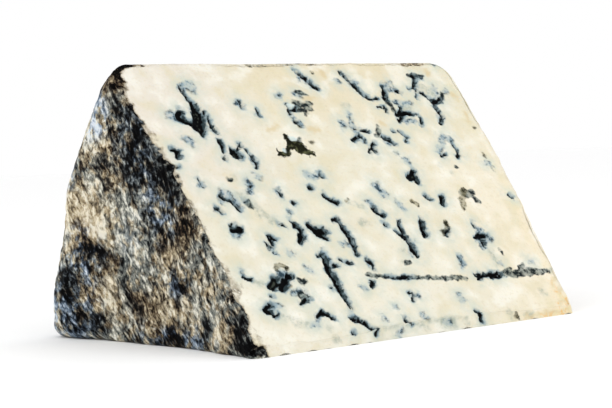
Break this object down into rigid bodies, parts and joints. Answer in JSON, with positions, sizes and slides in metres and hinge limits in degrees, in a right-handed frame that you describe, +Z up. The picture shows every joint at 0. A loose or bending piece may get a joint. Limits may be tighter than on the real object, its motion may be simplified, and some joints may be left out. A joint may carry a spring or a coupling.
{
  "type": "gorgonzola cheese wedge",
  "caption": "Blue-veined cheese wedge cut from a wheel, lying on one cut face, with cream paste, blue-green mould veins and a mottled rind.",
  "frame": {"origin": "middle of the wedge's box, at the flat cut that it lies on", "axes": "+X along the wheel's axis towards the end with the pale edge, +Y from the thin edge to the rounded heel, +Z up"},
  "size_m": [0.1858, 0.1404, 0.1115],
  "materials": {
    "cheese": "satin"
  },
  "bodies": {
    "root": {"wedge": "cheese"}
  },
  "joints": []
}
